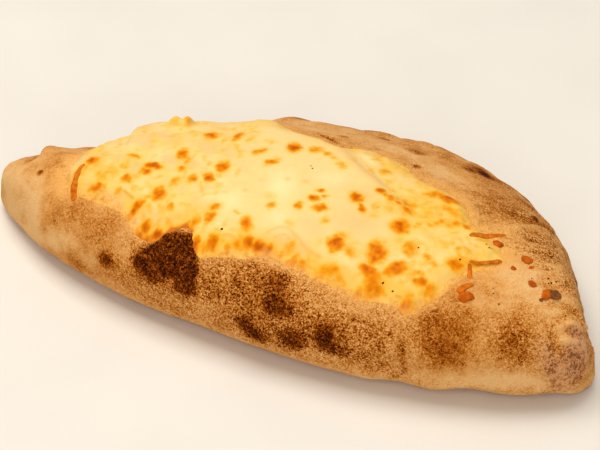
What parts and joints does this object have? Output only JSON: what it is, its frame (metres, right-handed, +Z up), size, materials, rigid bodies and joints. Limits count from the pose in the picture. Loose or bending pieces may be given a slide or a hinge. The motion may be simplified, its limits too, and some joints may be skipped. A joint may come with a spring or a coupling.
{
  "type": "calzone",
  "caption": "Folded half-moon calzone with a rounded folded edge, a pinched sealed edge and melted, browned cheese over its top.",
  "frame": {"origin": "centre of the bounding box in X and Y, at the height of the flat underside", "axes": "+X along the length from the thin left tip to the blunt right corner, +Y from the folded edge to the sealed edge, +Z up"},
  "size_m": [0.306, 0.1685, 0.06],
  "materials": {
    "crust": "matt baked dough, floury, with charred patches",
    "cheese": "melted cheese, softly glossy, with browned blisters"
  },
  "bodies": {
    "root": {"crust": "crust", "cheese": "cheese"}
  },
  "joints": []
}
